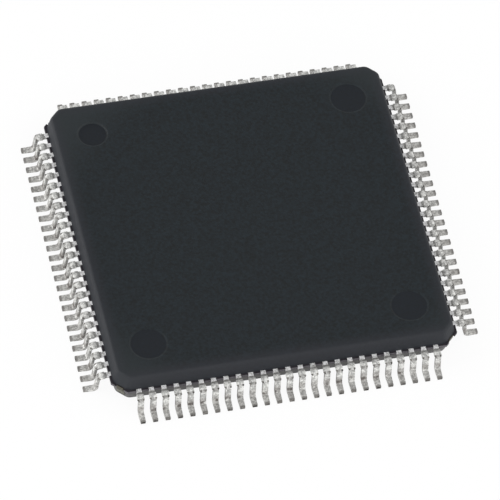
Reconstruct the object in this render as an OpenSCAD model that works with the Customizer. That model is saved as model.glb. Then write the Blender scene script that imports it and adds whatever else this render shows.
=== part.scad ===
// Low-profile quad flat pack: a moulded epoxy body with gull-wing leads on its
// four sides, and the lead frame, die and bond wires that it is moulded around.
// Origin at the centre of the body, on the plane that the feet stand on.
// +X right, +Y away, +Z up. Lead 1 is the far lead of the left side, and the
// numbers run left side, near side, right side, far side.

/* [Moulded body] */
// Side of the square body over the flash at its parting line
body_w = 14; // [14:0.5:16]
// Thickness of the body
body_t = 1.4; // [1.35:0.05:1.6]
// Gap between the seating plane and the underside
standoff = 0.1; // [0.05:0.01:0.15]
// Draft of the body's sides, above and below the parting line
draft = 12; // [8:1:14]
// Leg of the 45 degree cut across each corner
corner_cut = 0.55; // [0.45:0.05:0.7]
// Radius along the top and bottom edges
edge_r = 0.15; // [0.05:0.05:0.2]
// Width of the flash that is left between the leads, at the parting line
flash_w = 0.07; // [0.04:0.01:0.1]
// Thickness of the flash
flash_t = 0.12; // [0.08:0.01:0.12]
// Width of the scar where the gate broke off, at the near left corner
gate_w = 0.34; // [0.2:0.02:0.4]

/* [Marks in the moulding] */
// Distance of the round marks from the centre, along X and along Y
mark_at = 5.28; // [5:0.01:5.4]
// Diameter of the ejector-pin marks
ejector_d = 1.4; // [1:0.1:1.6]
// Diameter of the mark by lead 1
index_d = 1.1; // [0.8:0.1:1.3]
// Depth of the ejector-pin marks
ejector_depth = 0.03; // [0.02:0.01:0.05]
// Depth of the mark by lead 1
index_depth = 0.06; // [0.03:0.01:0.1]

/* [Leads] */
// Leads on each side, in groups of five
leads_side = 25; // [15:5:25]
// Distance between neighbouring leads
pitch = 0.5; // [0.4:0.05:0.5]
// Thickness of the lead frame
lead_t = 0.127; // [0.1:0.001:0.15]
// Width of a lead's leg
leg_w = 0.23; // [0.17:0.01:0.24]
// Width at the tip of the foot
tip_w = 0.2; // [0.15:0.01:0.22]
// Width of the neck where it leaves the body
neck_w = 0.2; // [0.16:0.01:0.22]
// Width over the sheared stubs of the dam bar
stub_w = 0.275; // [0.25:0.005:0.29]
// Reach of the leads beyond the body
lead_reach = 1; // [0.95:0.01:1.1]
// Straight shoulder between the body and the upper bend
shoulder = 0.28; // [0.24:0.01:0.32]
// Slope of the leg from the horizontal
leg_angle = 84; // [76:1:86]
// Inner radius of both bends
bend_r = 0.08; // [0.07:0.01:0.11]

/* [Inside the body] */
// Side of the die
die_w = 5.6; // [4.5:0.1:5.8]
// Thickness of the die
die_t = 0.28; // [0.2:0.01:0.3]
// Thickness of the adhesive under the die
adhesive_t = 0.025; // [0.02:0.005:0.04]
// Side of the paddle that carries the die
paddle_w = 6.8; // [6.2:0.1:7]
// Drop of the paddle below the leads
downset = 0.22; // [0.16:0.01:0.24]
// Width of the four tie bars
tie_w = 0.3; // [0.2:0.01:0.3]
// Thickness of a bond wire
wire_t = 0.025; // [0.02:0.005:0.03]
// Rise of the bond wires above the die
loop_rise = 0.16; // [0.12:0.01:0.2]

/* [Hidden] */
GROUP = 5;
groups = 4 * leads_side / GROUP;

// Heights of the body and of the lead frame
body_z0 = standoff;
body_z1 = standoff + body_t;
mid_z = standoff + body_t / 2;
frame_z = mid_z - lead_t / 2;
frame_top = frame_z + lead_t;
paddle_z = frame_z - downset;
adhesive_z = paddle_z + lead_t;
die_z = adhesive_z + adhesive_t;
die_top = die_z + die_t;

// Reach of the flash from the body's centre: its sides and its corner cuts
half_w = body_w / 2;
cut_reach = (body_w - corner_cut) / sqrt(2);

// Reach of the walls inside the flash, at the parting line: the sides, the corner
// cuts, and the narrow planes between them that soften their edges
side_wall = half_w - flash_w;
cut_wall = cut_reach - flash_w;
corner_soften = 0.04;
soft_wall = half_w * cos(22.5) + (half_w - corner_cut) * sin(22.5)
    - flash_w - corner_soften;

// Gap that the tie-bar punch leaves in the flash, and the height and relief of the
// gate's scar below it
punch_w = 0.44;
gate_top = 0.08;
gate_bottom = 0.42;
gate_proud = 0.03;

// Inner fingers, along the outward direction of their side
finger_tip = 4.2;
finger_tip_pitch = 0.3;
finger_tip_w = 0.16;
finger_knee = half_w - 0.6;
finger_w = 0.28;
neck_start = half_w - 0.2;
neck_end = half_w + 0.15;
stub_ramp = 0.02;
bend_start = half_w + shoulder;

// Gull wing: centre-line radius, straight leg and flat foot
wing_r = bend_r + lead_t / 2;
wing_drop = mid_z - lead_t / 2;
leg_len = (wing_drop - 2 * wing_r * (1 - cos(leg_angle))) / sin(leg_angle);
wing_run = 2 * wing_r * sin(leg_angle) + leg_len * cos(leg_angle);
foot_len = lead_reach - shoulder - wing_run;
bend_steps = 5;
stub_steps = 3;
wing_path = concat(
    arc([0, -wing_r], wing_r, 90, 90 - leg_angle, bend_steps),
    arc([wing_run, wing_r - wing_drop], wing_r, 270 - leg_angle, 270, bend_steps),
    [[wing_run + foot_len, -wing_drop]]);

// Bond wires: pads on the die, clear of its edges and corners, foot on the finger,
// and the run between them
pad_edge = 0.12;
pad_corner = 0.15;
pad_pitch = (die_w - 2 * (pad_edge + pad_corner)) / leads_side;
bond_on_finger = 0.14;
stitch_len = 0.08;
loop_flat = 0.35;
loop_knee = loop_flat / 4;
ball_d = 0.06;
ball_t = 0.015;

// Relief of the tie bars' ends on the cut corners
tie_proud = 0.03;

// Fineness of the body's rounded edges, the round marks and the wires' balls
arc_steps = 3;
round_fn = 64;
ball_fn = 8;

function first_lead(g) = g * GROUP;
function two_zeros(n) = str(n < 10 ? "00" : n < 100 ? "0" : "", n);
function group_name(stem, g) =
    str(stem, "_", two_zeros(first_lead(g) + 1), "_", two_zeros(first_lead(g) + GROUP));

WHOLE = ["package_body", "die_paddle", "die_attach", "silicon_die"];

// Place of a lead in its own side, and the side's turn about Z
function place(n) = n % leads_side - (leads_side - 1) / 2;
function side_turn(n) = 180 + 90 * floor(n / leads_side);

// Lateral place of a finger's centre at a distance u from the middle of the part
function finger_at(n, u) =
    let (share = (u - finger_tip) / (finger_knee - finger_tip))
    place(n) * (finger_tip_pitch + share * (pitch - finger_tip_pitch));

// Points of an arc, from angle a to angle b
function arc(centre, r, a, b, steps) =
    [for (i = [0:steps]) let (t = a + (b - a) * i / steps) centre + r * [cos(t), sin(t)]];

// Closed outline of a strip of thickness t along the open path p, between two of
// its points
function unit(v) = v / norm(v);
function square_to(v) = [-v[1], v[0]];
function heading(p, i) = unit(p[min(i, len(p) - 2) + 1] - p[min(i, len(p) - 2)]);
function mitre(p, i) =
    let (before = heading(p, max(i - 1, 0)),
         across = unit(square_to(before) + square_to(heading(p, i))))
    across / (across * square_to(before));
function strip(p, t, from, to) = concat(
    [for (i = [from:to]) p[i] + mitre(p, i) * t / 2],
    [for (i = [to:-1:from]) p[i] - mitre(p, i) * t / 2]);

// Outline through stations [distance, centre, width], out one edge and back the other
function banded(stations) = concat(
    [for (s = stations) [s[0], s[1] - s[2] / 2]],
    [for (i = [len(stations) - 1:-1:0]) let (s = stations[i]) [s[0], s[1] + s[2] / 2]]);

// ---- moulded body ----

function body_reach(a) = a % 90 == 0 ? side_wall : a % 90 == 45 ? cut_wall : soft_wall;

// Section of the body through two opposite sides that stand at reach from its centre
module body_section(reach) {
    half_t = body_t / 2;
    arc_z = half_t - edge_r;
    arc_centre = [reach - arc_z * tan(draft) - edge_r / cos(draft), arc_z];
    right = concat([[reach, 0]], arc(arc_centre, edge_r, draft, 90, arc_steps));
    upper = concat(right, [for (i = [len(right) - 1:-1:0]) [-right[i][0], right[i][1]]]);
    lower = [for (i = [len(upper) - 2:-1:1]) [upper[i][0], -upper[i][1]]];
    polygon(concat(upper, lower));
}

// The body before its pockets: eight such sections, each pair of sides at its own angle
module body_blank() {
    translate([0, 0, mid_z]) intersection_for(a = [0:22.5:157.5])
        rotate([0, 0, a]) rotate([90, 0, 0])
            linear_extrude(2 * body_w, center = true) body_section(body_reach(a));
}

// Flash that the dam bar held in between the leads, cut flush where each tie bar ends
module flash() {
    translate([0, 0, mid_z]) linear_extrude(flash_t, center = true) difference() {
        intersection() {
            square(2 * half_w, center = true);
            rotate([0, 0, 45]) square(2 * cut_reach, center = true);
        }
        for (a = [45:90:315]) rotate([0, 0, a])
            translate([cut_wall, -punch_w / 2]) square([2 * flash_w, punch_w]);
    }
}

// Low scar on the lower half of the near left corner, where the gate broke off
module gate_scar() {
    top_reach = cut_wall - gate_top * tan(draft);
    bottom_reach = cut_wall - gate_bottom * tan(draft);
    rotate([0, 0, 225]) rotate([90, 0, 0]) linear_extrude(gate_w, center = true)
        translate([0, mid_z]) polygon([
            [bottom_reach - flash_w, -gate_top], [top_reach + gate_proud, -gate_top],
            [bottom_reach + gate_proud, -gate_bottom], [bottom_reach - flash_w, -gate_bottom]]);
}

// Shallow round marks near the corners: ejector pins above and below, and the
// smaller, deeper one by lead 1
module round_marks() {
    for (x = [-1, 1], y = [-1, 1]) {
        by_lead_1 = x < 0 && y > 0;
        depth = by_lead_1 ? index_depth : ejector_depth;
        translate([x * mark_at, y * mark_at, body_z1 - depth])
            cylinder(h = 1, d = by_lead_1 ? index_d : ejector_d, $fn = round_fn);
        translate([x * mark_at, y * mark_at, body_z0 + ejector_depth - 1])
            cylinder(h = 1, d = ejector_d, $fn = round_fn);
    }
}

module package_body() {
    color("#2c3033") difference() {
        union() {
            body_blank();
            flash();
            gate_scar();
        }
        round_marks();
        for (n = [0:4 * leads_side - 1]) {
            lead_flat(n);
            bond_wire(n);
        }
        frame_paddle();
        adhesive_pad();
        die_block();
    }
}

// ---- leads ----

// Inner finger, neck and shoulder of a lead, stamped flat
module lead_flat(n) {
    out = place(n) * pitch;
    rotate([0, 0, side_turn(n)]) translate([0, 0, frame_z]) linear_extrude(lead_t)
        polygon(banded([
            [finger_tip, finger_at(n, finger_tip), finger_tip_w],
            [finger_knee, out, finger_w],
            [neck_start, out, finger_w],
            [neck_start, out, neck_w],
            [neck_end, out, neck_w],
            [neck_end + stub_ramp, out, stub_w],
            [bend_start, out, stub_w]]));
}

// Part of the gull wing between two points of its path, seen from the side and
// drawn w wide
module wing_part(from, to, w) {
    rotate([90, 0, 0]) linear_extrude(w, center = true)
        polygon(strip(wing_path, lead_t, from, to));
}

// Gull wing from the end of the shoulder to the tip of the foot, with its own origin
// at the end of the shoulder. The dam bar's stubs run into the upper bend, and the
// foot narrows to its tip.
module gull_wing() {
    wing_part(0, stub_steps, stub_w);
    intersection() {
        wing_part(stub_steps, len(wing_path) - 1, leg_w);
        translate([0, 0, -wing_drop - lead_t]) linear_extrude(wing_drop + 2 * lead_t)
            polygon(banded([[0, 0, leg_w], [wing_run, 0, leg_w],
                            [wing_run + foot_len, 0, tip_w]]));
    }
}

module lead(n) {
    lead_flat(n);
    rotate([0, 0, side_turn(n)])
        translate([bend_start, place(n) * pitch, mid_z]) gull_wing();
}

module lead_group(g) {
    color("#c3c2bc") for (n = [first_lead(g):first_lead(g) + GROUP - 1]) lead(n);
}

// ---- paddle, adhesive and die ----

// Tie bar from the paddle's corner up to the level of the leads and out to the cut corner
module tie_bar() {
    corner = paddle_w / sqrt(2);
    foot = corner + tie_w / 2;
    rotate([90, 0, 0]) linear_extrude(tie_w, center = true) polygon([
        [corner - tie_w, paddle_z], [foot, paddle_z], [foot + downset, frame_z],
        [cut_wall + tie_proud, frame_z], [cut_wall + tie_proud, frame_top],
        [foot + downset, frame_top], [foot, paddle_z + lead_t],
        [corner - tie_w, paddle_z + lead_t]]);
}

module frame_paddle() {
    translate([-paddle_w / 2, -paddle_w / 2, paddle_z]) cube([paddle_w, paddle_w, lead_t]);
    for (a = [45:90:315]) rotate([0, 0, a]) tie_bar();
}

module adhesive_pad() {
    translate([-die_w / 2, -die_w / 2, adhesive_z]) cube([die_w, die_w, adhesive_t]);
}

module die_block() {
    translate([-die_w / 2, -die_w / 2, die_z]) cube([die_w, die_w, die_t]);
}

module die_paddle() { color("#b98a5e") frame_paddle(); }
module die_attach() { color("#8d8f92") adhesive_pad(); }
module silicon_die() { color("#4d5568") die_block(); }

// ---- bond wires ----

// One wire: ball on its pad, short rise, loop, and stitch on the tip of its finger
module bond_wire(n) {
    pad = [die_w / 2 - pad_edge, place(n) * pad_pitch];
    bond_u = finger_tip + bond_on_finger;
    bond = [bond_u, finger_at(n, bond_u)];
    run = norm(bond - pad);
    top = die_top + loop_rise;
    landing = frame_top + wire_t / 2;
    loop = [[0, die_top], [0, top - loop_knee], [loop_knee, top],
            [loop_flat, top], [run - stitch_len, landing], [run, landing]];
    rotate([0, 0, side_turn(n)]) translate([pad[0], pad[1], 0]) {
        translate([0, 0, die_top]) cylinder(h = ball_t, d = ball_d, $fn = ball_fn);
        rotate([0, 0, atan2(bond[1] - pad[1], bond[0] - pad[0])]) rotate([90, 0, 0])
            linear_extrude(wire_t, center = true)
                polygon(strip(loop, wire_t, 0, len(loop) - 1));
    }
}

module wire_group(g) {
    color("#d9b25a") for (n = [first_lead(g):first_lead(g) + GROUP - 1]) bond_wire(n);
}

package_body();
die_paddle();
die_attach();
silicon_die();
for (g = [0:groups - 1]) lead_group(g);
for (g = [0:groups - 1]) wire_group(g);
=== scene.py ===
"""A 100-lead quad flat pack: a moulded body, a hundred plated gull-wing leads, and the
die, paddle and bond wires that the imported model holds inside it."""
import math

import bmesh
import bpy
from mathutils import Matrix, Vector


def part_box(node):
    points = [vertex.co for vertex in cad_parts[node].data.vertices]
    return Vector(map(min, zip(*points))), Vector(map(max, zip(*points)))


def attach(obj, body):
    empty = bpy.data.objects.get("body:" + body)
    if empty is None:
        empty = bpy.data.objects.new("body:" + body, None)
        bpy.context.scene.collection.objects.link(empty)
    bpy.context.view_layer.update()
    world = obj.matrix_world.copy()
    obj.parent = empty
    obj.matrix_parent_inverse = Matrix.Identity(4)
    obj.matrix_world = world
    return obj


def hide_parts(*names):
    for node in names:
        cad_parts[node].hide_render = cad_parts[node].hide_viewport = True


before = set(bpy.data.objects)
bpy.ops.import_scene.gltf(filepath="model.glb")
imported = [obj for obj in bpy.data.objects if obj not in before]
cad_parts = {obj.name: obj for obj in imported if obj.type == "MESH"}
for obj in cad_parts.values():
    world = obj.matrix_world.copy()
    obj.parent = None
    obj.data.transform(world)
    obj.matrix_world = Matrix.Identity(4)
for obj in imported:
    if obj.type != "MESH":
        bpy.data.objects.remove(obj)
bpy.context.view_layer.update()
bpy.ops.object.select_all(action="DESELECT")

MM = 0.001
HAIR = 0.001 * MM   # places closer than this are level or in line
MERGE = 0.0001 * MM   # points closer than this are one
FLAT = 0.99   # a face whose normal is upright by more than this lies flat
BODY = "root"


# ---- small tools ----

def linear(hex_colour):
    """An sRGB hex colour as a linear RGBA tuple."""
    parts = [int(hex_colour[i:i + 2], 16) / 255 for i in (1, 3, 5)]
    return tuple(c / 12.92 if c <= 0.04045 else ((c + 0.055) / 1.055) ** 2.4
                 for c in parts) + (1.0,)


def add(tree, kind, inputs=(), **settings):
    """Add a node: settings are its properties, and inputs gives each socket a constant
    or the output that feeds it."""
    made = tree.nodes.new(kind)
    for name, value in settings.items():
        setattr(made, name, value)
    for socket, value in dict(inputs).items():
        if isinstance(value, bpy.types.NodeSocket):
            tree.links.new(value, made.inputs[socket])
        else:
            made.inputs[socket].default_value = value
    return made.outputs


def pick(piece, kind, test):
    """In edit mode, select the vertices, edges or faces that pass the test."""
    mesh = bmesh.from_edit_mesh(piece.data)
    mesh.normal_update()
    bpy.ops.mesh.select_mode(type=kind)
    bpy.ops.mesh.select_all(action="DESELECT")
    mesh = bmesh.from_edit_mesh(piece.data)
    for part in {"VERT": mesh.verts, "EDGE": mesh.edges, "FACE": mesh.faces}[kind]:
        part.select_set(test(part))
    mesh.select_flush_mode()
    bmesh.update_edit_mesh(piece.data)


def middle(part):
    """Middle of an edge or a face."""
    return sum((v.co for v in part.verts), Vector()) / len(part.verts)


def apply_place():
    """Put the place, turn and size of what is selected into its mesh."""
    bpy.ops.object.transform_apply(location=True, rotation=True, scale=True)


def face_outward():
    """In edit mode, turn every face of the piece outward."""
    bpy.ops.mesh.select_all(action="SELECT")
    bpy.ops.mesh.normals_make_consistent(inside=False)


def finish_with(piece, kind, **settings):
    """Add a modifier and apply it."""
    modifier = piece.modifiers.new(kind.title(), kind)
    for name, value in settings.items():
        setattr(modifier, name, value)
    bpy.ops.object.modifier_apply(modifier=modifier.name)


def only(piece):
    """Select this piece alone, and make it the active one."""
    bpy.ops.object.select_all(action="DESELECT")
    piece.select_set(True)
    bpy.context.view_layer.objects.active = piece


def copy_of(piece, name):
    """A copy with a mesh of its own."""
    made = bpy.data.objects.new(name, piece.data.copy())
    bpy.context.collection.objects.link(made)
    return made


# ---- camera: a long lens, above the near edge and a little left of the middle ----

CAMERA_PLACE = (-50.870 * MM, -162.399 * MM, 225.284 * MM)
CAMERA_TURN = (math.radians(36.8569), math.radians(-3.5092), math.radians(-12.7706))
bpy.ops.object.camera_add(location=CAMERA_PLACE, rotation=CAMERA_TURN)
camera = bpy.context.object
camera.data.sensor_width = 36
camera.data.lens = 508.55
camera.data.clip_start = 10 * MM
camera.data.clip_end = 5
bpy.context.scene.camera = camera


# ---- materials: every noise scale is in patches to a millimetre ----

# a Mix node's colour sockets, whose names its number sockets share
COLOUR_A, COLOUR_B, COLOUR_OUT = 6, 7, 2
SKIN_DEPTH = 0.012 * MM   # of the grain on the compound and of the crystals on the tin


def start_material(name, **constants):
    """A material with its shader, and the object's coordinates in millimetres."""
    made = bpy.data.materials.new(name)
    made.use_nodes = True
    tree = made.node_tree
    shader = tree.nodes["Principled BSDF"]
    for socket, value in constants.items():
        shader.inputs[socket.replace("_", " ")].default_value = value
    place = add(tree, "ShaderNodeTexCoord")["Object"]
    millimetres = add(tree, "ShaderNodeMapping",
                      {"Vector": place, "Scale": (1 / MM,) * 3})[0]
    return made, tree, shader, millimetres


def reach_from_middle(tree, mm):
    """Distance outward along X or Y, whichever is further, and the height."""
    apart = add(tree, "ShaderNodeSeparateXYZ", {"Vector": mm})
    sides = [add(tree, "ShaderNodeMath", {0: apart[axis]}, operation="ABSOLUTE")[0]
             for axis in ("X", "Y")]
    reach = add(tree, "ShaderNodeMath", {0: sides[0], 1: sides[1]}, operation="MAXIMUM")[0]
    return reach, apart["Z"]


def distance_in_plan(tree, mm, centre):
    """Distance from the upright line through this centre, whatever the height."""
    aside = add(tree, "ShaderNodeVectorMath",
                {0: mm, 1: (1.0, 1.0, 0.0), 2: (-centre[0], -centre[1], 0.0)},
                operation="MULTIPLY_ADD")[0]
    return add(tree, "ShaderNodeVectorMath", {0: aside}, operation="LENGTH")["Value"]


def band(tree, value, rise, full, fade, gone):
    """1 from full to fade, falling softly to 0 at rise and at gone."""
    up = add(tree, "ShaderNodeMapRange",
             {"Value": value, "From Min": rise, "From Max": full},
             interpolation_type="SMOOTHSTEP")[0]
    down = add(tree, "ShaderNodeMapRange",
               {"Value": value, "From Min": gone, "From Max": fade},
               interpolation_type="SMOOTHSTEP")[0]
    return add(tree, "ShaderNodeMath", {0: up, 1: down}, operation="MULTIPLY")[0]


def dress(tree, shader, **parts):
    """Feed the shader's sockets with these outputs."""
    for socket, output in parts.items():
        tree.links.new(output, shader.inputs[socket.replace("_", " ")])


def paint_body_light(tree, mm, colour):
    """Painted light on the moulded body. The side walls and the margins and corners of the
    top are painted a little paler, a painted sheen of the light that falls on them, most at
    the corner of lead 1 and least across from it. The walls below the parting line are
    painted paler and browner still, a painted lift of the light bounced up from the floor
    between the leads."""
    reach, height = reach_from_middle(tree, mm)
    # lead 1 is at -X, +Y, so the centre of the painted light is a little the other way
    out = distance_in_plan(tree, mm, (0.5, -0.5))
    for tint, value, limits, most in (
            ("#22282b", out, (7.0, 9.6, 12.0, 13.0), 0.85),
            ("#27282e", reach, (6.20, 6.85, 7.2, 7.3), 0.65),
            ("#6a6968", height, (0.12, 0.32, 0.735, 0.745), 0.8)):
        share = add(tree, "ShaderNodeMath", {0: band(tree, value, *limits), 1: most},
                    operation="MULTIPLY")[0]
        colour = add(tree, "ShaderNodeMix",
                     {"Factor": share, COLOUR_A: colour, COLOUR_B: linear(tint)},
                     data_type="RGBA")[COLOUR_OUT]
    return colour


def moulding_compound(name, shade, deep, rough, grain, painted_light=False):
    """Silica-filled epoxy, transfer moulded. The cavity is spark eroded, so the skin is a
    dull blue-black with a fine even grain, and its sheen clouds faintly where the melt
    flowed. The grain is drawn about twice as coarse as it is, to show at all."""
    made, tree, shader, mm = start_material(name, IOR=1.5, Specular_IOR_Level=0.33)
    clouds = add(tree, "ShaderNodeTexNoise",
                 {"Vector": mm, "Scale": 0.45, "Detail": 3.0})[0]
    grit = add(tree, "ShaderNodeTexNoise",
               {"Vector": mm, "Scale": 9.0, "Detail": 3.0, "Roughness": 0.6})[0]
    share = add(tree, "ShaderNodeMapRange",
                {"Value": grit, "From Min": 0.34, "From Max": 0.66})[0]
    colour = add(tree, "ShaderNodeMix",
                 {"Factor": share, COLOUR_A: linear(deep), COLOUR_B: linear(shade)},
                 data_type="RGBA")[COLOUR_OUT]
    # painted light: paler margins, corners and walls, and a paler lower wall
    if painted_light:
        colour = paint_body_light(tree, mm, colour)
    drift = 0.03
    dull = add(tree, "ShaderNodeMapRange",
               {"Value": clouds, "From Min": 0.3, "From Max": 0.7,
                "To Min": rough - drift, "To Max": rough + drift})[0]
    skin = add(tree, "ShaderNodeBump",
               {"Height": grit, "Strength": grain, "Distance": SKIN_DEPTH})[0]
    dress(tree, shader, Base_Color=colour, Roughness=dull, Normal=skin)
    return made


def tin_plate():
    """Matt tin, electroplated on the copper lead frame after moulding: a soft grey mottled
    by its crystals. A painted highlight makes it brightest on the neck; it is crossed by a
    thin dark line where the dam bar was, has painted shade along the upper bend, is duller
    and browner low on the leg and at the toe, and has painted shade in the heel bend. The
    crystals are drawn several times too large, to show at all."""
    made, tree, shader, mm = start_material("matt_tin_plate")
    reach, height = reach_from_middle(tree, mm)
    crystals = add(tree, "ShaderNodeTexNoise",
                   {"Vector": mm, "Scale": 9.0, "Detail": 3.0, "Roughness": 0.65})[0]
    specks = add(tree, "ShaderNodeTexNoise",
                 {"Vector": mm, "Scale": 14.0, "Detail": 1.0})[0]
    patches = add(tree, "ShaderNodeTexNoise",
                  {"Vector": mm, "Scale": 2.5, "Detail": 2.0})[0]
    mottle = add(tree, "ShaderNodeMapRange",
                 {"Value": crystals, "From Min": 0.40, "From Max": 0.60})[0]
    colour = add(tree, "ShaderNodeMix",
                 {"Factor": mottle, COLOUR_A: linear("#b1b1af"),
                  COLOUR_B: linear("#ecece9")},
                 data_type="RGBA")[COLOUR_OUT]

    def across(*limits):
        return band(tree, reach, *limits)

    def up(*limits):
        return band(tree, height, *limits)

    neck = across(6.80, 6.90, 7.07, 7.10)
    # each tint: its place, in millimetres out from the middle or up from the floor, the
    # noise that breaks it up, where that noise starts and ends, and its most
    for tint, place, noise, quiet, loud, most in (
            # a painted highlight on the neck, the thin dark line, and painted shade along
            # the upper bend
            # painted highlight: the neck is painted near white
            ("#f4f4f6", neck, crystals, 0.38, 0.55, 0.9),
            # a thin dark line across the lead, where the neck meets the stubs
            ("#3c3936", across(7.08, 7.11, 7.16, 7.20), crystals, 0.40, 0.52, 0.7),
            # painted shade: a darker band along the upper bend, where the lead turns down
            ("#5c5956", across(7.36, 7.40, 7.46, 7.49), patches, 0.3, 0.5, 0.5),
            # the low leg, the foot, and painted shade in the heel bend
            ("#7d746e", up(0.10, 0.24, 0.36, 0.60), patches, 0.2, 0.6, 0.5),
            ("#8d8883", up(-0.2, -0.1, 0.10, 0.24), patches, 0.2, 0.6, 0.4),
            # painted shade in the concave heel bend
            ("#544c48", up(0.13, 0.16, 0.24, 0.32), patches, 0.47, 0.56, 0.75),
            # the toe, and specks all over
            ("#5f5a56", across(7.87, 7.96, 8.2, 8.3), crystals, 0.3, 0.5, 0.7),
            ("#5a5855", 1.0, specks, 0.58, 0.68, 0.45)):
        uneven = add(tree, "ShaderNodeMapRange",
                     {"Value": noise, "From Min": quiet, "From Max": loud,
                      "To Max": most})[0]
        share = add(tree, "ShaderNodeMath", {0: place, 1: uneven}, operation="MULTIPLY")[0]
        colour = add(tree, "ShaderNodeMix",
                     {"Factor": share, COLOUR_A: colour, COLOUR_B: linear(tint)},
                     data_type="RGBA")[COLOUR_OUT]
    # matt crystals scatter much of the light, and the neck's most, to go with its painted
    # highlight
    metallic = add(tree, "ShaderNodeMapRange",
                   {"Value": neck, "To Min": 0.6, "To Max": 0.2})[0]
    dull = add(tree, "ShaderNodeMapRange",
               {"Value": crystals, "From Min": 0.3, "From Max": 0.7,
                "To Min": 0.72, "To Max": 0.54})[0]
    skin = add(tree, "ShaderNodeBump",
               {"Height": crystals, "Strength": 0.6, "Distance": SKIN_DEPTH})[0]
    dress(tree, shader, Base_Color=colour, Roughness=dull, Normal=skin, Metallic=metallic)
    return made


def plain_metal(name, bright, dark, rough, scale, punched=None):
    """A metal whose colour and sheen drift a little over the surface. Ends that are punched
    off at the corners, outside the body's walls, can have a colour of their own."""
    made, tree, shader, mm = start_material(name, Metallic=1.0)
    noise = add(tree, "ShaderNodeTexNoise",
                {"Vector": mm, "Scale": scale, "Detail": 3.0})[0]
    drift = add(tree, "ShaderNodeMapRange",
                {"Value": noise, "From Min": 0.35, "From Max": 0.65})[0]
    colour = add(tree, "ShaderNodeMix",
                 {"Factor": drift, COLOUR_A: linear(dark), COLOUR_B: linear(bright)},
                 data_type="RGBA")[COLOUR_OUT]
    if punched:
        ends = add(tree, "ShaderNodeMapRange",
                   {"Value": distance_in_plan(tree, mm, (0, 0)),
                    "From Min": 9.3, "From Max": 9.4})[0]
        colour = add(tree, "ShaderNodeMix",
                     {"Factor": ends, COLOUR_A: colour, COLOUR_B: linear(punched)},
                     data_type="RGBA")[COLOUR_OUT]
    spread = 0.08
    dull = add(tree, "ShaderNodeMapRange",
               {"Value": drift, "To Min": rough - spread, "To Max": rough + spread})[0]
    dress(tree, shader, Base_Color=colour, Roughness=dull)
    return made


# the body's compound, with painted light on its margins, corners and walls
COMPOUND = moulding_compound("moulded_epoxy_compound", "#141e24", "#060c0f", 0.6, 0.6,
                             painted_light=True)
# moulded against the polished ends of the pins: darker, and with hardly any grain
PIN_MARK = moulding_compound("epoxy_against_polished_pin", "#08111a", "#060d14", 0.64, 0.2)
# resin squeezed out between the leads: dull, with a faint purple tinge, and painted paler
# than the body's compound, a painted lift of light in this shaded skirt
FLASH = moulding_compound("epoxy_flash", "#2c282e", "#201d22", 0.75, 1.0)
# the same resin where the dam bar was cut away from it: a torn edge, painted a paler grey
# still, a painted highlight on these upright faces
LIT_TRIMMED_FLASH = moulding_compound("trimmed_epoxy_flash_painted_lit", "#6c696d", "#524f54", 0.8, 1.0)
# snapped off at the gate: the filler shows, pale and rough
BROKEN = moulding_compound("broken_epoxy_gate", "#85847a", "#4a4a44", 0.85, 1.0)
TIN = tin_plate()
# copper alloy sheared after plating, with tin dragged over it: streaked light and dark
SHEARED = plain_metal("sheared_lead_end", "#8b8884", "#3a3836", 0.55, 5.0)
# copper alloy as the strip mill rolled it: a warm satin. The tie bars' ends, punched off
# at the cut corners, have dulled to a brownish grey
COPPER = plain_metal("rolled_copper_alloy", "#c08a5c", "#a87448", 0.4, 6.0,
                     punched="#5d5a50")
# silver flakes in resin, cured under the die: an even, dull light grey
SILVER = plain_metal("silver_filled_adhesive", "#9a9c9e", "#77797c", 0.6, 8.0)
# sawn from a polished wafer: a dark blue-grey mirror
SILICON = plain_metal("polished_silicon", "#565f70", "#454d5c", 0.15, 2.0)
# drawn gold wire: bright warm yellow
GOLD = plain_metal("gold_wire", "#e0b860", "#cda24c", 0.25, 10.0)


# ---- moulded body ----

HALF_W = 7 * MM
FLASH_W = 0.07 * MM
FLASH_T = 0.12 * MM
CORNER_CUT = 0.55 * MM
CORNER_SOFTEN = 0.16 * MM
DRAFT = math.radians(12)
EDGE_R = 0.15 * MM
PUNCH_W, PUNCH_LONG = 0.44 * MM, 1 * MM
GATE_W, GATE_TOP, GATE_BOTTOM = 0.34 * MM, 0.08 * MM, 0.42 * MM
GATE_PROUD, GATE_ROUGH = 0.03 * MM, 0.028 * MM
MARK_AT = 5.28 * MM
MARK_RIM = 0.09 * MM
MARK_STEPS = 48
FLAT_RING = 0.04 * MM   # a flat border round each mark, above and below its rim
PIN_PRESSED = (1.4 * MM, 0.03 * MM)   # diameter and depth
LEAD_1_MARK = (1.1 * MM, 0.06 * MM)

body_low, body_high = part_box("package_body")
MID_Z = (body_low.z + body_high.z) / 2
WALL_HALF = HALF_W - FLASH_W
CUT_REACH = (2 * HALF_W - CORNER_CUT) / math.sqrt(2)
CUT_WALL = CUT_REACH - FLASH_W
# leg of the corner cut, measured on the walls inside the flash
WALL_CUT = 2 * WALL_HALF - CUT_WALL * math.sqrt(2)


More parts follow.
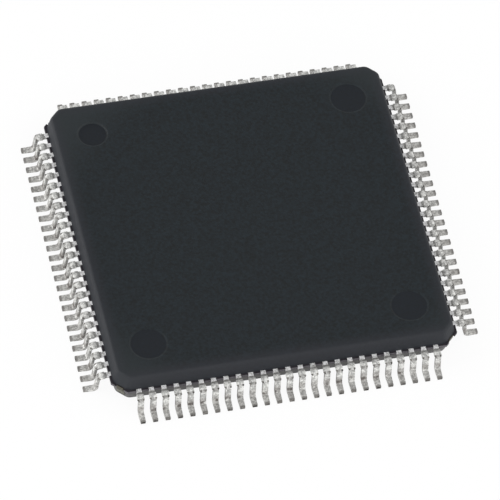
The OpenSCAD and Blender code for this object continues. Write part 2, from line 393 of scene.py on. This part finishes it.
def body_half():
    """Upper half of the body on the parting plane: plan outline, drafted wall and rounded
    edge, mirrored below."""
    bpy.ops.mesh.primitive_plane_add(size=2 * WALL_HALF, location=(0, 0, MID_Z))
    body = bpy.context.object
    body.name = body.data.name = "moulded_body"
    wall = (body_high.z - body_low.z) / 2
    bpy.ops.object.mode_set(mode="EDIT")
    bpy.ops.mesh.select_all(action="SELECT")
    bpy.ops.mesh.bevel(affect="VERTICES", offset=WALL_CUT, segments=1)
    bpy.ops.mesh.bevel(affect="VERTICES", offset=CORNER_SOFTEN, segments=3)
    bpy.ops.mesh.inset(thickness=wall * math.tan(DRAFT), depth=wall)
    pick(body, "EDGE", lambda e: all(v.co.z > wall - HAIR for v in e.verts))
    tangent = EDGE_R * math.tan((math.pi / 2 - DRAFT) / 2)
    bpy.ops.mesh.bevel(affect="EDGES", offset=tangent, segments=6)
    bpy.ops.object.mode_set(mode="OBJECT")
    finish_with(body, "MIRROR", use_axis=(False, False, True), merge_threshold=HAIR)
    apply_place()
    bpy.ops.object.mode_set(mode="EDIT")
    face_outward()
    bpy.ops.object.mode_set(mode="OBJECT")
    return body


def flash_slab():
    """The thin skirt of resin that the dam bar held in between the leads, punched flush
    where each tie bar ends."""
    bpy.ops.mesh.primitive_plane_add(size=2 * HALF_W, location=(0, 0, MID_Z - FLASH_T / 2))
    slab = bpy.context.object
    apply_place()
    bpy.ops.object.mode_set(mode="EDIT")
    bpy.ops.mesh.select_all(action="SELECT")
    bpy.ops.mesh.bevel(affect="VERTICES", offset=CORNER_CUT, segments=1)
    bpy.ops.mesh.extrude_region_move(TRANSFORM_OT_translate={"value": (0, 0, FLASH_T)})
    face_outward()
    bpy.ops.object.mode_set(mode="OBJECT")
    slab.data.materials.append(FLASH)
    slab.data.materials.append(LIT_TRIMMED_FLASH)
    # the upright faces get the paler copy, painted light on the trimmed sides
    for face in slab.data.polygons:
        trimmed_edge = abs(face.normal.z) < 0.5
        face.material_index = int(trimmed_edge)
    for corner in range(4):
        a = math.radians(45 + 90 * corner)
        reach = CUT_WALL + PUNCH_LONG / 2
        bpy.ops.mesh.primitive_cube_add(
            size=PUNCH_LONG, location=(reach * math.cos(a), reach * math.sin(a), MID_Z))
        punch = bpy.context.object
        punch.scale.y = PUNCH_W / PUNCH_LONG
        punch.rotation_euler.z = a
        apply_place()
        only(slab)
        finish_with(slab, "BOOLEAN", object=punch, operation="DIFFERENCE")
        bpy.data.objects.remove(punch)
    return slab


def gate_stub():
    """The broken-off gate: a low rough pad on the lower half of the near left corner."""
    tall = GATE_BOTTOM - GATE_TOP
    near_left = math.radians(225)
    bpy.ops.mesh.primitive_plane_add(size=GATE_W)
    pad = bpy.context.object
    pad.scale.y = tall / GATE_W
    apply_place()
    bpy.ops.object.mode_set(mode="EDIT")
    bpy.ops.mesh.select_all(action="SELECT")
    bpy.ops.mesh.subdivide(number_cuts=7)
    # the foot of the pad goes into the wall, as deep as the flash is wide
    bpy.ops.mesh.extrude_region_move(
        TRANSFORM_OT_translate={"value": (0, 0, GATE_PROUD + FLASH_W)})
    # all of the broken face but its border
    inner = 0.45
    pick(pad, "VERT", lambda v: v.co.z > GATE_PROUD and abs(v.co.x) < GATE_W * inner
         and abs(v.co.y) < tall * inner)
    bpy.ops.transform.vertex_random(offset=GATE_ROUGH, normal=0.8, seed=4)
    face_outward()
    bpy.ops.object.mode_set(mode="OBJECT")
    # stood against the lower wall, which leans in by the draft
    down = (GATE_TOP + GATE_BOTTOM) / 2
    reach = CUT_WALL - down * math.tan(DRAFT) - FLASH_W
    pad.rotation_euler = (math.pi / 2 + DRAFT, 0, near_left + math.pi / 2)
    pad.location = (reach * math.cos(near_left), reach * math.sin(near_left), MID_Z - down)
    apply_place()
    pad.data.materials.append(BROKEN)
    return pad


def mark_rows(top):
    """Place, diameter and depth of the four marks on one side. On the top, the one by
    lead 1 is smaller and deeper."""
    return [(sx * MARK_AT, sy * MARK_AT,
             *(LEAD_1_MARK if top and sx < 0 < sy else PIN_PRESSED))
            for sx in (-1, 1) for sy in (-1, 1)]


def sink_marks(body, level, side):
    """Open the flat face at this level, and fill it again round four shallow round marks
    with soft rims. side is 1 for the top and -1 for the underside."""
    marks = [(x, y, diameter / 2 + MARK_RIM + FLAT_RING, depth)
             for x, y, diameter, depth in mark_rows(side > 0)]
    bpy.ops.object.mode_set(mode="EDIT")
    # the one flat face that has all the outline's corners
    pick(body, "FACE", lambda f: f.normal.z * side > FLAT and len(f.verts) > 8)
    bpy.ops.mesh.inset(thickness=FLAT_RING)
    bpy.ops.mesh.delete(type="ONLY_FACE")
    for x, y, outer, depth in marks:
        bpy.ops.mesh.primitive_circle_add(
            vertices=MARK_STEPS, radius=outer, location=(x, y, level))
    pick(body, "EDGE", lambda e: (e.is_boundary or e.is_wire)
         and abs(middle(e).z - level) < HAIR)
    bpy.ops.mesh.fill(use_beauty=False)
    for x, y, outer, depth in marks:
        centre = Vector((x, y, level))
        pick(body, "EDGE", lambda e: all(
            abs((v.co - centre).length - outer) < 2 * HAIR for v in e.verts))
        radius = outer
        # the rim goes down in small steps, round at its top and at its foot
        for inward, drop in ((FLAT_RING, 0), (MARK_RIM * 0.3, 0.15), (MARK_RIM * 0.4, 0.7),
                             (MARK_RIM * 0.3, 0.15), (FLAT_RING, 0)):
            small = radius - inward
            bpy.ops.mesh.extrude_edges_move(
                TRANSFORM_OT_translate={"value": (0, 0, -side * drop * depth)})
            bpy.ops.transform.resize(value=(small / radius, small / radius, 1),
                                     center_override=(x, y, level))
            radius = small
        bpy.ops.mesh.edge_face_add()
    face_outward()
    bpy.ops.object.mode_set(mode="OBJECT")


def in_a_mark(face):
    """Whether a face is the flat floor of a mark."""
    off = Vector((abs(face.center.x) - MARK_AT, abs(face.center.y) - MARK_AT))
    sunk = min(abs(face.center.z - body_high.z), abs(face.center.z - body_low.z))
    return off.length < PIN_PRESSED[0] / 2 + FLAT_RING and sunk > 10 * HAIR \
        and abs(face.normal.z) > FLAT


body = body_half()
sink_marks(body, body_high.z, 1)
sink_marks(body, body_low.z, -1)
body.data.materials.append(COMPOUND)
body.data.materials.append(PIN_MARK)
for face in body.data.polygons:
    face.material_index = int(in_a_mark(face))
for added in (flash_slab(), gate_stub()):
    only(body)
    finish_with(body, "BOOLEAN", object=added, operation="UNION", material_mode="TRANSFER")
    bpy.data.objects.remove(added)
bpy.ops.object.shade_smooth_by_angle(angle=math.radians(32))
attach(body, BODY)
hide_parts("package_body")


# ---- leads ----

LEAD_T = 0.127 * MM
PITCH = 0.5 * MM
SIDE_LEADS = 25
GROUP = 5
FINGER_TIP, FINGER_TIP_PITCH = 4.2 * MM, 0.3 * MM
FINGER_TIP_W, FINGER_W = 0.16 * MM, 0.28 * MM
NECK_W, STUB_W, LEG_W = 0.20 * MM, 0.275 * MM, 0.23 * MM
FOOT_W, TOE_W = 0.20 * MM, 0.19 * MM
FINGER_STRAIGHT = 0.40 * MM   # before it fans toward the die
NECK_START = HALF_W - 0.2 * MM
NECK_LONG, STUB_LONG = 0.35 * MM, 0.13 * MM
SHOULDER = 0.28 * MM   # flat, from the body's outline to the upper bend
REACH = 1 * MM   # of the toe, from the body's outline
STEP = 0.02 * MM   # in which the width changes
BEND_R = 0.08 * MM + LEAD_T / 2
LEG_TURN = 84   # of each bend, in degrees
STUB_TURN, STEP_TURN = 50.4, 6   # of the upper bend: as far as the stubs, and off them
STUB_INNER = 0.068 * MM   # where the sheared stubs start, from the lead's middle line
EDGE_SOFTEN = 0.014 * MM


def stamped_lead():
    """One lead on the +X side at y = 0: a strip drawn out station by station, spun round
    its two bends, then given its thickness and its softened stamped edges."""
    leg_angle = math.radians(LEG_TURN)
    drop = MID_Z - LEAD_T / 2
    leg = (drop - 2 * BEND_R * (1 - math.cos(leg_angle))) / math.sin(leg_angle)
    run = 2 * BEND_R * math.sin(leg_angle) + leg * math.cos(leg_angle)
    foot = REACH - SHOULDER - run
    bend_x = HALF_W + SHOULDER
    width = FINGER_W

    def draw_out(length, new_width, slope=0.0):
        nonlocal width
        bpy.ops.mesh.extrude_edges_move(TRANSFORM_OT_translate={
            "value": (length * math.cos(slope), 0, -length * math.sin(slope))})
        bpy.ops.transform.resize(value=(1, new_width / width, 1))
        width = new_width

    def roll(steps, degrees, new_width):
        nonlocal width
        bpy.ops.mesh.spin(steps=steps, angle=-math.radians(degrees),
                          center=(bend_x, 0, MID_Z - BEND_R), axis=(0, 1, 0))
        bpy.ops.transform.resize(value=(1, new_width / width, 1))
        width = new_width

    def at_stub_end(centre):
        """The last step of the upper bend that the stubs reach, and the step off them."""
        turned = math.degrees(math.atan2(centre.x - bend_x, centre.z - (MID_Z - BEND_R)))
        return STUB_TURN * 2 / 3 < turned < STUB_TURN + STEP_TURN

    # the finger, inward from the neck: a straight part, then one that tapers to the tip
    bpy.ops.mesh.primitive_plane_add(
        size=FINGER_W, location=(NECK_START - FINGER_W / 2, 0, MID_Z))
    lead = bpy.context.object
    apply_place()
    bpy.ops.object.mode_set(mode="EDIT")
    pick(lead, "EDGE", lambda e: middle(e).x < NECK_START - FINGER_W + HAIR)
    bpy.ops.transform.translate(value=(FINGER_W - FINGER_STRAIGHT, 0, 0))
    bpy.ops.mesh.extrude_edges_move(TRANSFORM_OT_translate={
        "value": (FINGER_TIP - (NECK_START - FINGER_STRAIGHT), 0, 0)})
    bpy.ops.transform.resize(value=(1, FINGER_TIP_W / FINGER_W, 1))
    # and outward from it to the toe
    pick(lead, "EDGE", lambda e: middle(e).x > NECK_START - HAIR)
    draw_out(STEP, NECK_W)
    draw_out(NECK_LONG - STEP, NECK_W)
    draw_out(STEP, STUB_W)
    draw_out(STUB_LONG - STEP, STUB_W)
    roll(3, STUB_TURN, STUB_W)
    roll(1, STEP_TURN, LEG_W)
    roll(2, LEG_TURN - STUB_TURN - STEP_TURN, LEG_W)
    draw_out(leg, LEG_W, leg_angle)
    bpy.ops.mesh.spin(steps=5, angle=leg_angle,
                      center=(bend_x + run, 0, LEAD_T / 2 + BEND_R), axis=(0, 1, 0))
    draw_out(foot - STEP, FOOT_W)
    draw_out(STEP, TOE_W)
    bpy.ops.mesh.select_all(action="SELECT")
    bpy.ops.mesh.remove_doubles(threshold=MERGE)
    for y in (-STUB_INNER, STUB_INNER):
        pick(lead, "FACE", lambda f: at_stub_end(middle(f)))
        bpy.ops.mesh.bisect(plane_co=(bend_x, y, 0), plane_no=(0, 1, 0), threshold=MERGE)
    face_outward()
    bpy.ops.object.mode_set(mode="OBJECT")
    lead.data.materials.append(TIN)
    lead.data.materials.append(SHEARED)
    for face in lead.data.polygons:
        if abs(face.center.y) > STUB_INNER and at_stub_end(face.center):
            face.material_index = 1
    finish_with(lead, "SOLIDIFY", thickness=LEAD_T, offset=0, use_even_offset=True)
    finish_with(lead, "BEVEL", width=EDGE_SOFTEN, segments=2, limit_method="ANGLE",
                angle_limit=math.radians(50))
    bpy.ops.object.shade_smooth_by_angle(angle=math.radians(40))
    toe = HALF_W + REACH - STEP
    for face in lead.data.polygons:
        if face.normal.x > 0.7 and face.center.x > toe:
            face.material_index = 1
    return lead


def lead_in_place(pattern, n):
    """Lead n of a side: its finger's tip is fanned, and all of it moved to its pitch."""
    place = n - (SIDE_LEADS - 1) / 2
    lead = copy_of(pattern, f"lead_{n}")
    only(lead)
    bpy.ops.object.mode_set(mode="EDIT")
    pick(lead, "VERT", lambda v: v.co.x < FINGER_TIP + 0.1 * MM)
    bpy.ops.transform.translate(value=(0, place * (FINGER_TIP_PITCH - PITCH), 0))
    bpy.ops.mesh.select_all(action="SELECT")
    bpy.ops.transform.translate(value=(0, place * PITCH, 0))
    bpy.ops.object.mode_set(mode="OBJECT")
    return lead


pattern = stamped_lead()
groups = []
for g in range(SIDE_LEADS // GROUP):
    five = [lead_in_place(pattern, n) for n in range(g * GROUP, (g + 1) * GROUP)]
    only(five[0])
    for lead in five[1:]:
        lead.select_set(True)
    bpy.ops.object.join()
    groups.append(five[0])
bpy.data.objects.remove(pattern)
for side in range(4):
    for g, five in enumerate(groups):
        low = side * SIDE_LEADS + g * GROUP + 1
        label = f"{low:03d}_{low + GROUP - 1:03d}"
        made = copy_of(five, f"plated_leads_{label}")
        only(made)
        made.rotation_euler.z = math.radians(180 + 90 * side)
        apply_place()
        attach(made, BODY)
        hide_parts(f"leads_{label}")
for five in groups:
    bpy.data.objects.remove(five)


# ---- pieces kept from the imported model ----

INSIDE = {"die_paddle": COPPER, "die_attach": SILVER, "silicon_die": SILICON}
for name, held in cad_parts.items():
    finish = GOLD if name.startswith("wires_") else INSIDE.get(name)
    if finish:
        held.data.materials.clear()
        held.data.materials.append(finish)


# ---- floor, world and lamps ----

WHITE = linear("#ffffff")
FLOOR_W = 3
FLOOR_Z = -0.002 * MM   # a hair below the feet, so that the two don't share a plane
FLOOR_GLOW = 0.92       # the rest is matt, and keeps the part's shadow


def seen_directly(tree):
    """1 where the camera, a reflection or a refraction looks, 0 for scattered light."""
    path = add(tree, "ShaderNodeLightPath")
    either = add(tree, "ShaderNodeMath",
                 {0: path["Is Camera Ray"], 1: path["Is Glossy Ray"]},
                 operation="MAXIMUM")[0]
    return add(tree, "ShaderNodeMath", {0: either, 1: path["Is Transmission Ray"]},
               operation="MAXIMUM")[0]


bpy.ops.mesh.primitive_plane_add(size=FLOOR_W, location=(0, 0, FLOOR_Z))
floor = bpy.context.object
floor.name = "floor"
card = bpy.data.materials.new("matt_white_card")
card.use_nodes = True
card.node_tree.nodes.clear()
matt = add(card.node_tree, "ShaderNodeBsdfDiffuse", {"Color": WHITE})[0]
glow = add(card.node_tree, "ShaderNodeEmission", {"Color": WHITE, "Strength": 1.0})[0]
share = add(card.node_tree, "ShaderNodeMath",
            {0: seen_directly(card.node_tree), 1: FLOOR_GLOW}, operation="MULTIPLY")[0]
both = add(card.node_tree, "ShaderNodeMixShader", {0: share, 1: matt, 2: glow})[0]
add(card.node_tree, "ShaderNodeOutputMaterial", {"Surface": both})
floor.data.materials.append(card)

world = bpy.data.worlds.new("studio")
bpy.context.scene.world = world
world.use_nodes = True
world.node_tree.nodes.clear()
# white where it is seen, and a little less where it only lights
level = add(world.node_tree, "ShaderNodeMapRange",
            {"Value": seen_directly(world.node_tree), "To Min": 0.8, "To Max": 1.0})[0]
# white walls and a dimmer ceiling
upward = add(world.node_tree, "ShaderNodeSeparateXYZ",
             {"Vector": add(world.node_tree, "ShaderNodeTexCoord")["Generated"]})["Z"]
ceiling = add(world.node_tree, "ShaderNodeMapRange",
              {"Value": upward, "From Min": 0.2, "From Max": 0.9,
               "To Min": 1.0, "To Max": 0.4})[0]
level = add(world.node_tree, "ShaderNodeMath", {0: level, 1: ceiling},
            operation="MULTIPLY")[0]
sky = add(world.node_tree, "ShaderNodeBackground", {"Color": WHITE, "Strength": level})[0]
add(world.node_tree, "ShaderNodeOutputWorld", {"Surface": sky})


def softbox(name, azimuth, elevation, distance, size, energy):
    """A square area lamp that faces the part: degrees round from the near side toward the
    right, degrees up, metres away, metres wide, and watts."""
    a, e = math.radians(azimuth), math.radians(elevation)
    back = Vector((math.sin(a) * math.cos(e), -math.cos(a) * math.cos(e), math.sin(e)))
    bpy.ops.object.light_add(type="AREA", location=back * distance)
    lamp = bpy.context.object
    lamp.name = name
    lamp.rotation_euler = (-back).to_track_quat("-Z", "Y").to_euler()
    lamp.data.size = size
    lamp.data.energy = energy


softbox("left_lamp", -105, 24, 0.35, 0.4, 0.95)
softbox("right_lamp", 75, 35, 0.35, 0.4, 0.55)
softbox("front_lamp", -10, 45, 0.4, 0.45, 0.15)
softbox("front_card", -15, 12, 0.4, 0.45, 0.6)

bpy.context.scene.view_settings.view_transform = "Standard"
